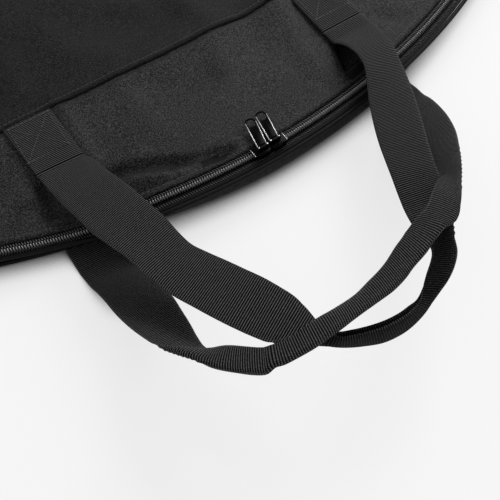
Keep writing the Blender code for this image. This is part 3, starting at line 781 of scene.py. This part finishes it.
backHandle = {"middle": 88, "height": 1.05, "crease": (1.2, 6.0, 10), "shade": 0.6, "stations": [
    (-100.3, -393.8, 1.2, -75.5, -395.8, 1.2), (-99.2, -405.1, 6.8, -74.7, -404.6, 3.2),
    (-98, -416.7, 12.5, -73.8, -415.2, 7.5), (-97.3, -428.5, 18.9, -73, -425.6, 12.1),
    (-96.1, -439, 25.5, -72.7, -434.6, 16.5), (-94.3, -448.4, 31.9, -73.4, -443.9, 20.1),
    (-92.3, -455.6, 36.8, -73.9, -451.6, 23.2, 24.5), (-89.8, -462.1, 41, -74.6, -458.8, 27, 22),
    (-86.7, -468, 44.3, -75.2, -465.7, 31.7, 18), (-83.3, -473.4, 46.1, -74.1, -470.3, 35.9, 14),
    (-80.6, -479, 47.4, -71.9, -472.9, 39.6, 12.5),
    (-77.5, -483.6, 49.1, -69.8, -475.3, 42.9, 12.5),
    (-73.9, -488.1, 51.2, -66.9, -478.6, 45.8, 12.5),
    (-70.7, -491.7, 53.7, -64.4, -482.3, 48.3, 12.5), (-67.9, -494.5, 56, -61.9, -485.2, 50, 12.5),
    (-65.8, -495.7, 57.4, -59.9, -486.7, 50.6, 12.5),
    (-63.3, -495.1, 58.6, -58.6, -487.3, 50.8, 12.5),
    (-60.1, -496.5, 59.7, -55.8, -488.4, 51.3, 12.5),
    (-55.5, -497.2, 60.6, -52.1, -489.4, 52, 12.5),
    (-51.2, -497.7, 61.2, -47.7, -489.4, 52.8, 12.5),
    (-46.3, -498, 61.4, -42.7, -488.7, 53.2, 12.5),
    (-40.8, -497.7, 61.4, -37.7, -488.7, 53.2, 12.5),
    (-35.4, -497.5, 61.2, -31.9, -489, 52.8, 12.5),
    (-28.9, -496.8, 60.2, -25.6, -488.8, 51.8, 12.5),
    (-22.5, -496.4, 59.6, -19.7, -488.1, 51.4, 12.5), (-16, -496, 58.7, -13.1, -486.4, 51.3, 12.5),
    (-9.7, -495.4, 57.9, -6.8, -485.1, 51.5, 12.5), (-3.2, -494, 57.3, -0.8, -483.1, 51.7, 12.5),
    (3.3, -492.1, 57, 5, -480.2, 52, 12.5), (9.7, -490.4, 57.2, 10.3, -478.6, 52.4, 12.5),
    (16.8, -487.8, 57.3, 15, -477.1, 52.7, 12.5), (21.7, -486.3, 57.2, 17.7, -476.1, 53.4, 12),
    (25.3, -485.2, 56.8, 19.4, -475.6, 54.2, 11.5), (28.6, -485.8, 56.1, 22.2, -474.6, 54.9, 11),
    (33.1, -483.7, 55.9, 26.7, -472.4, 54.7, 11), (37.2, -480.3, 55.8, 33, -469.1, 53.2, 11.5),
    (42.7, -475.4, 54.4, 40.8, -464.9, 48.6, 12.5), (48.5, -469.9, 51.5, 47.7, -460.2, 42.5, 14.5),
    (55.3, -463.9, 47.5, 53.5, -450, 35.5, 18), (62.7, -456.9, 42.5, 55.8, -442.3, 29.5, 22),
    (69.6, -450.4, 37.3, 57.6, -435.9, 24.7), (77.7, -441.5, 31.4, 58.9, -429, 20.6),
    (84.4, -431.2, 25.6, 61.5, -422.5, 16.4), (90.1, -420.4, 19.1, 66.2, -414.9, 11.9),
    (94.3, -410, 12.9, 70.2, -407.1, 8.1), (98.1, -399.6, 6.6, 74.2, -399, 4.4),
    (100.8, -390.7, 1.2, 77, -392.1, 1.2),
]}


def strapRows(spec):
    # Stations smoothed by a Catmull-Rom curve, with the sewn ends added, then spaced evenly
    width, height, end = handleWeb["width"], spec["height"], handleWeb["sewnEnd"]
    rows = [np.array((*row, width)[:7]) for row in spec["stations"]]
    dense = []
    padded = [2 * rows[0] - rows[1], *rows, 2 * rows[-1] - rows[-2]]
    for a, b, c, d in zip(padded, padded[1:], padded[2:], padded[3:]):
        for k in range(16):
            t = k / 16
            dense.append((2 * b + (c - a) * t + (2 * a - 5 * b + 4 * c - d) * t**2
                          + (3 * b - a - 3 * c + d) * t**3) / 2)
    dense.append(rows[-1])
    ends = [np.array((side * (spec["middle"] + width / 2), end, height,
                      side * (spec["middle"] - width / 2), end, height, width)) for side in (-1, 1)]
    line = np.concatenate([np.linspace(ends[0], dense[0], 20, endpoint=False), dense,
                           np.linspace(dense[-1], ends[1], 21)[1:]])
    line[:, 6] = np.clip(line[:, 6], width / 2, width)
    middle = (line[:, :3] + line[:, 3:6]) / 2
    lengths = np.concatenate([[0], np.cumsum(np.linalg.norm(np.diff(middle, axis=0), axis=1))])
    even = np.arange(0, lengths[-1], handleWeb["rib"] / 3)
    soft = np.ones(9) / 9                       # takes the corner off at the folds
    columns = [np.pad(np.interp(even, lengths, line[:, k]), 4, mode="edge") for k in range(7)]
    return even, np.stack([np.convolve(column, soft, mode="valid") for column in columns], 1)


def strapSection(seen, flat, count):
    # Middle line of the section from its inner edge: flat, then rolled over and back on itself
    radius = handleWeb["foldRadius"]
    flap = (handleWeb["width"] - flat) * min(1, seen / flat)
    flap += 1.5 * float(smoothStep((15 - flat) / 2.5))
    turn = min(math.pi, flap / radius)
    rolled = min(flap, math.pi * radius)
    straight = seen - (radius if turn > math.pi / 2 else radius * math.sin(turn))
    total = straight + flap
    out = []
    for s in np.linspace(0, total, count):
        if s <= straight:
            a, n, lean = s, 0.0, 0.0
        elif s <= straight + rolled:
            lean = (s - straight) / radius
            a, n = straight + radius * math.sin(lean), radius * (1 - math.cos(lean))
        else:
            lean, rest = math.pi, s - straight - rolled
            a, n = straight - rest, 2 * radius + 0.5 * math.sin(math.pi * min(rest / 12, 1))
        out.append((s / total, a - seen / 2, n - radius * turn / math.pi, lean))
    return out


def handleStrap(name, spec, seed, across=20):
    even, rows = strapRows(spec)
    creaseAt = handleWeb["sewnEnd"] - spec["stations"][0][1]
    depth, wide, past = spec["crease"]           # where the webbing leaves its sewn end
    middle = (rows[:, :3] + rows[:, 3:6]) / 2
    along = np.gradient(middle, axis=0)
    along /= np.linalg.norm(along, axis=1)[:, None]
    points, uvs, gripLightShares = [], [], []
    for u, row, tangent in zip(even, rows, along):
        outer, inner, tangent = Vector(row[:3]), Vector(row[3:6]), Vector(tangent)
        centre = (outer + inner) / 2
        sideways = (outer - inner).normalized()
        normal = sideways.cross(tangent).normalized()
        grip = float(smoothStep((18 - row[6]) / 5))
        rib = handleWeb["ribHeight"] * (1 - 0.8 * grip)
        rib *= math.cos(2 * math.pi * u / handleWeb["rib"])
        loose = float(smoothStep((-centre.y - 352) / 12)) if spec is frontHandle else 1.0
        cup = 0.6 * noise.noise((u / 38, seed, 1.3))
        fold = depth * math.exp(-((min(u, even[-1] - u) - creaseAt - past) / wide) ** 2)
        top, low = [], []
        for share, a, n, lean in strapSection((outer - inner).length, row[6], across):
            edge = abs(2 * share - 1)
            half = handleWeb["thick"] / 2 * (1 - 0.5 * edge**12) + rib * (1 - edge**4)
            n += loose * (cup * (edge**2 - 0.4) + 0.2 * noise.noise((u / 14, share * 3, seed + 4)))
            n -= fold
            for sign, store in ((1, top), (-1, low)):
                a2, n2 = a - sign * half * math.sin(lean), n + sign * half * math.cos(lean)
                store.append(((centre + sideways * a2 + normal * n2) * mm,
                              (u * mm, share * handleWeb["width"] * mm)))
        ring = top + low[::-1]
        points += [p for p, _ in ring]
        uvs += [t for _, t in ring]
        # Each point carries the grip's share times its handle's painted light or shade
        gripLightShares += [grip * spec["shade"]] * len(ring)
    item = addPiece(name, points, tubeFaces(len(rows), 2 * across), webbing, uvs)
    item.data.attributes.new("gripPaintedLight", "FLOAT", "POINT").data.foreach_set("value", gripLightShares)
    faceOut(item)
    return item


# The front grip is painted darker, a painted shade of its own fold, and the back one is
# painted lighter, a painted light where it catches the light
frontStrap = handleStrap("frontHandle", frontHandle, 2.0)
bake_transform(frontStrap)
place(frontStrap, None, "webbing", "front_handle_anchor_left", "front_handle_anchor_right",
      "front_handle_loop")
backStrap = handleStrap("backHandle", backHandle, 8.0)
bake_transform(backStrap)
place(backStrap, None, "webbing", "back_handle_anchor_left", "back_handle_anchor_right",
      "back_handle_loop")

# Boxed crosses hold the sewn ends
box = {"inset": 2.0, "near": -315.6, "far": -339.1, "lift": 0.12, "climb": 0.013, "pitch": 2.3}


def boxedCross(middle):
    # The strap's top climbs a little from its end to the crease
    def heightAt(y):
        level = frontHandle["height"] + handleWeb["thick"] / 2 + box["lift"]
        return level + (handleWeb["sewnEnd"] - y) * box["climb"]

    reach, near, far = handleWeb["width"] / 2 - box["inset"], box["near"], box["far"]
    left, right = middle - reach, middle + reach
    corners = [(left, near), (right, near), (right, far), (left, far), (left, near)]
    pairs = [*zip(corners, corners[1:]), ((left, near), (right, far)), ((right, near), (left, far))]
    return [[(x, y, heightAt(y)) for x, y in pair] for pair in pairs]


crosses = boxedCross(-frontHandle["middle"]) + boxedCross(frontHandle["middle"])
repeatAlong("frontBoxStitches", crosses, stitch, box["pitch"], thread, 0.06, 15, "front_cover",
            "webbing")
print("wheel bag: handles made")

# Zip sliders, in millimetres in their own frame: x along the chain, y towards the bag's middle
slider = {"radius": 393.5, "meet": 5.6, "length": 9.4, "width": 6.8, "tail": 5.2, "gap": 0.3,
          "plateLow": 20.0, "plateHigh": 20.9, "flangeLow": 18.0, "flange": 0.9, "footHigh": 16.3,
          "footLow": 15.4}
crown = {"inner": 2.75, "wall": 0.6, "top": 23.2, "under": 22.75, "half": 0.5, "bead": 0.42,
         "beadAt": 2.4}
pull = {"length": 19.2, "width": 6.2, "low": 21.2, "high": 22.0, "bar": 0.8, "windowWidth": 3,
        "windowLength": 1.4, "hole": 2.15, "slot": 0.4, "neck": 0.86, "shoulder": 3.2, "lean": -12,
        "forward": 1.3}


def flatShape(name, outlines, low, high, edge, finish):
    data = bpy.data.curves.new(name, "CURVE")
    data.dimensions, data.fill_mode = "2D", "BOTH"
    data.extrude, data.bevel_depth, data.bevel_resolution = (high - low) / 2 - edge, edge, 2
    data.offset = -edge
    addSplines(data, [[(x, y, 0) for x, y in outline] for outline in outlines], closed=True)
    item = addObject(name, data)
    mesh = evaluated(item)
    bpy.data.objects.remove(item, do_unlink=True)
    mesh.transform(Matrix.Translation((0, 0, (low + high) / 2)))
    mesh.materials.clear()
    mesh.materials.append(finish)
    return mesh


def joinShapes(name, meshes, matrix):
    form = bmesh.new()
    finishes = []
    for mesh in meshes:
        finish = mesh.materials[0]
        if finish not in finishes:
            finishes.append(finish)
        start = len(form.faces)
        form.from_mesh(mesh)
        form.faces.ensure_lookup_table()
        for face in form.faces[start:]:
            face.material_index = finishes.index(finish)
    bmesh.ops.remove_doubles(form, verts=form.verts, dist=0.0005)
    bmesh.ops.recalc_face_normals(form, faces=form.faces)
    made = bpy.data.meshes.new(name)
    form.to_mesh(made)
    form.free()
    made.transform(matrix)
    for finish in finishes:
        made.materials.append(finish)
    made.shade_smooth()
    made.set_sharp_from_angle(angle=math.radians(35))
    return addObject(name, made)


def roundedOutline(points, radius, steps=4):
    out, count = [], len(points)
    for i, (x, y) in enumerate(points):
        here = Vector((x, y))
        before, after = Vector(points[i - 1]) - here, Vector(points[(i + 1) % count]) - here
        cut = min(radius, before.length / 2.2, after.length / 2.2)
        one, two = here + before.normalized() * cut, here + after.normalized() * cut
        for k in range(steps + 1):
            t = k / steps
            out.append(tuple(one * (1 - t)**2 + here * 2 * t * (1 - t) + two * t**2))
    return out


def barShape(name, start, end, width, height, finish):
    # A half-round bar between two points on a flat
    start, end = Vector(start), Vector(end)
    along = (end - start).normalized()
    side = along.cross(Vector((0, 0, 1))).normalized()
    ring = [(-0.5, 0), (-0.42, 0.55), (-0.2, 0.92), (0, 1), (0.2, 0.92), (0.42, 0.55), (0.5, 0)]
    stations = ((start, 0.6), (start + along * 0.3, 1), (end - along * 0.3, 1), (end, 0.6))
    points = [p + side * (a * width * s) + Vector((0, 0, b * height * s))
              for p, s in stations for a, b in ring]
    return meshOf(name, points, tubeFaces(4, len(ring)), finish)


def sliderParts(side):
    nose, tail = -side * slider["length"] / 2, side * slider["length"] / 2
    half, narrow, flange = slider["width"] / 2, slider["tail"] / 2, slider["flange"]
    low, high = slider["plateLow"], slider["plateHigh"]
    waist, wireX = nose + side * 4.6, tail - side * 0.35
    plan = [(nose, half * 0.55), (nose + side * 1.3, half), (waist, half), (tail, narrow)]
    plan += [(x, -y) for x, y in plan[::-1]]
    foot = roundedOutline([(x * 0.96, y * 0.8) for x, y in plan], 1.0)
    parts = [flatShape("plate", [roundedOutline(plan, 1.2)], low, high, 0.25, lacquer),
             flatShape("foot", [foot], slider["footLow"], slider["footHigh"], 0.2, lacquer)]
    for across in (-1, 1):
        near, far = across * (half - flange * 0.95), across * (half - 0.05)
        start, end = nose + side * 1.5, tail - side * 0.4
        wall = [(start, near), (start, far), (waist, far), (end, across * (narrow - 0.05)),
                (end, across * (narrow - flange * 0.8)), (waist, near)]
        parts.append(flatShape("flange", [wall], slider["flangeLow"], low + 0.3, 0.12, lacquer))
    start, end = nose + side * 0.9, nose + side * 3.4
    post = [(start, -0.28), (end, -0.28), (end, 0.28), (start, 0.28)]
    parts.append(flatShape("post", [post], slider["footHigh"] - 0.3, low + 0.3, 0.1, lacquer))
    # A bright wire across the plate's tail, and a raised rib down each long edge
    parts.append(barShape("tailWire", (wireX, 0.2 - narrow, high - 0.08),
                          (wireX, narrow - 0.2, high - 0.08), 0.5, 0.3, nickel))
    for across in (-1, 1):
        start = (nose + side * 1.6, across * (half - 0.55), high - 0.05)
        end = (nose + side * 5, across * (half - 0.6), high - 0.05)
        parts.append(barShape("rib", start, end, 0.6, 0.2, lacquer))
    return parts


def crownParts():
    # A bridge along the slider, drawn standing up, with a bright bead at each end: the beads are a
    # painted highlight on the bridge's shoulders
    inner, outer, base = crown["inner"], crown["inner"] + crown["wall"], slider["plateHigh"] + 0.02
    top, under = crown["top"], crown["under"]
    arch = [(-outer, base), (-outer, top - 0.1), (-inner + 0.2, top), (inner - 0.2, top),
            (outer, top - 0.1), (outer, base), (inner, base), (inner, under), (-inner, under),
            (-inner, base)]
    bridge = flatShape("arch", [roundedOutline(arch, 0.55, 3)], -crown["half"], crown["half"], 0.2,
                       blackNickel)
    bridge.transform(Matrix(((1, 0, 0, 0), (0, 0, 1, 0), (0, 1, 0, 0), (0, 0, 0, 1))))
    return [bridge] + [
        flatShape("bead", [circle(crown["bead"], 16, x)], top - 0.15, top + 0.2, 0.16, nickel)
        for x in (-crown["beadAt"], crown["beadAt"])]


def pullParts():
    half, bar, high = pull["width"] / 2, pull["bar"] / 2, pull["high"]
    straight, neck = pull["length"] - bar - half, half * pull["neck"]
    tip = circle(half, 28, 0, straight)[:15]
    plate = [(-neck, -bar), (neck, -bar), (neck, pull["shoulder"]), *tip, (-neck, pull["shoulder"])]
    hole = [(x, y + (0.1 if k <= 12 else -pull["slot"]))
            for k, (x, y) in enumerate(circle(pull["hole"], 24, 0, straight))]
    wide, far = pull["windowWidth"] / 2, 0.4 + pull["windowLength"]
    window = roundedOutline([(-wide, 0.4), (wide, 0.4), (wide, far), (-wide, far)], 0.6)
    parts = [flatShape("pullPlate", [plate, window, hole], pull["low"] + 0.05, high - 0.12, 0.14,
                       lacquer)]
    for across in (-1, 1):      # bright rails run up both sides, a painted highlight on the plate's long edges
        start = (across * (neck - 0.3), 0.9, high - 0.3)
        end = (across * (half - 0.36), straight + 0.6, high - 0.3)
        parts.append(barShape("rail", start, end, 0.62, 0.36, nickel))
    return parts


def makeSlider(word, side):
    middle = slider["meet"] + side * (slider["length"] + slider["gap"]) / 2
    turn = Matrix.Rotation(math.asin(middle / slider["radius"]), 4, "Z")
    seat = Matrix.Scale(mm, 4) @ turn @ Matrix.Translation((0, -slider["radius"], 0))
    # Crown and pull stand towards the nose, so the two pulls lie side by side. The pull is moved
    # along its own hinge line.
    lean = Matrix.Rotation(math.radians(pull["lean"]), 4, "Z")
    forward = seat @ Matrix.Translation(lean @ Vector((-side * pull["forward"], 0, 0)))
    body = "slider_" + word.lower()
    for name, parts, matrix, rider, slotName in (
            ("slider", sliderParts(side), seat, body, "slider_metal"),
            ("crown", crownParts(), forward, body, "bright_metal"),
            ("pull", pullParts(), forward @ lean, "pull_" + word.lower(), "slider_metal")):
        node = body + "_" + name.replace("slider", "body")
        place(joinShapes(name + word, parts, matrix), rider, slotName, node)


makeSlider("Left", -1)
makeSlider("Right", 1)
for item in (tooth, outerTooth, tapeStitch, stitch):
    bpy.data.objects.remove(item, do_unlink=True)
print("wheel bag: sliders made")

# Floor, light and world
floorLook = {"colour": "#f5f5f5", "albedo": "#f8f8f8", "plain": 0.78, "contact": 16, "size": 4.0}
light = {"power": 8.6, "size": 0.55, "from": (0.75, 0.05, 0.78), "at": (0, -0.4, 0.02), "sky": 0.8,
         "skyDark": 0.58, "backdrop": "#f3f3f3"}


def makeFloor():
    # To the camera it is mostly the backdrop's pale grey, whose glow is darkened near the object
    # by ambient occlusion as a painted contact shadow; the rest keeps the object's real shadow
    made, tree, shader = blankMaterial("paleFloor")
    setInputs(shader, {"Base Color": linear(floorLook["albedo"]), "Roughness": 0.9,
                       "Specular IOR Level": 0})
    near = addNode(tree, "ShaderNodeAmbientOcclusion", {"Distance": floorLook["contact"] * mm},
                   samples=16).outputs["AO"]
    # Painted contact shadow: the glow fades where ambient occlusion finds the object close
    paintedContactShade = addNode(tree, "ShaderNodeMapRange", {"Value": near, "From Min": 0.25, "From Max": 0.85},
                  interpolation_type="SMOOTHSTEP")
    glow = addNode(tree, "ShaderNodeEmission", [linear(floorLook["colour"]), paintedContactShade])
    toCamera = addNode(tree, "ShaderNodeLightPath").outputs["Is Camera Ray"]
    share = addNode(tree, "ShaderNodeMath", [toCamera, floorLook["plain"]], operation="MULTIPLY")
    mixed = addNode(tree, "ShaderNodeMixShader", [share, shader, glow])
    setInputs(tree.nodes["Material Output"], {"Surface": mixed})
    corners = [(x * floorLook["size"], y * floorLook["size"], 0)
               for x, y in ((-1, -1), (1, -1), (1, 1), (-1, 1))]
    addPiece("floor", corners, [(0, 1, 2, 3)], made)


def makeLight():
    aim = Vector(light["from"]) - Vector(light["at"])
    data = bpy.data.lights.new("softBox", "AREA")
    data.energy, data.size = light["power"], light["size"]
    item = addObject("softBox", data)
    item.location = light["from"]
    item.rotation_euler = aim.to_track_quat("Z", "Y").to_euler()
    scene.world = bpy.data.worlds.new("sky")
    scene.world.use_nodes = True
    tree = scene.world.node_tree
    tree.nodes.clear()
    # The sky is a little brighter towards the light, and plain where the camera sees it
    toward = addNode(tree, "ShaderNodeTexCoord").outputs["Generated"]
    facing = addNode(tree, "ShaderNodeVectorMath", [toward, tuple(aim.normalized())],
                     operation="DOT_PRODUCT").outputs["Value"]
    level = addNode(tree, "ShaderNodeMapRange", [facing, -0.4, 1, light["skyDark"], light["sky"]],
                    interpolation_type="SMOOTHSTEP")
    soft = addNode(tree, "ShaderNodeBackground", [(1, 1, 1, 1), level])
    plain = addNode(tree, "ShaderNodeBackground", [linear(light["backdrop"]), 1.0])
    toCamera = addNode(tree, "ShaderNodeLightPath").outputs["Is Camera Ray"]
    mixed = addNode(tree, "ShaderNodeMixShader", [toCamera, soft, plain])
    addNode(tree, "ShaderNodeOutputWorld", [mixed])


makeFloor()
makeLight()
scene.view_settings.view_transform = "Standard"

print("wheel bag: done")
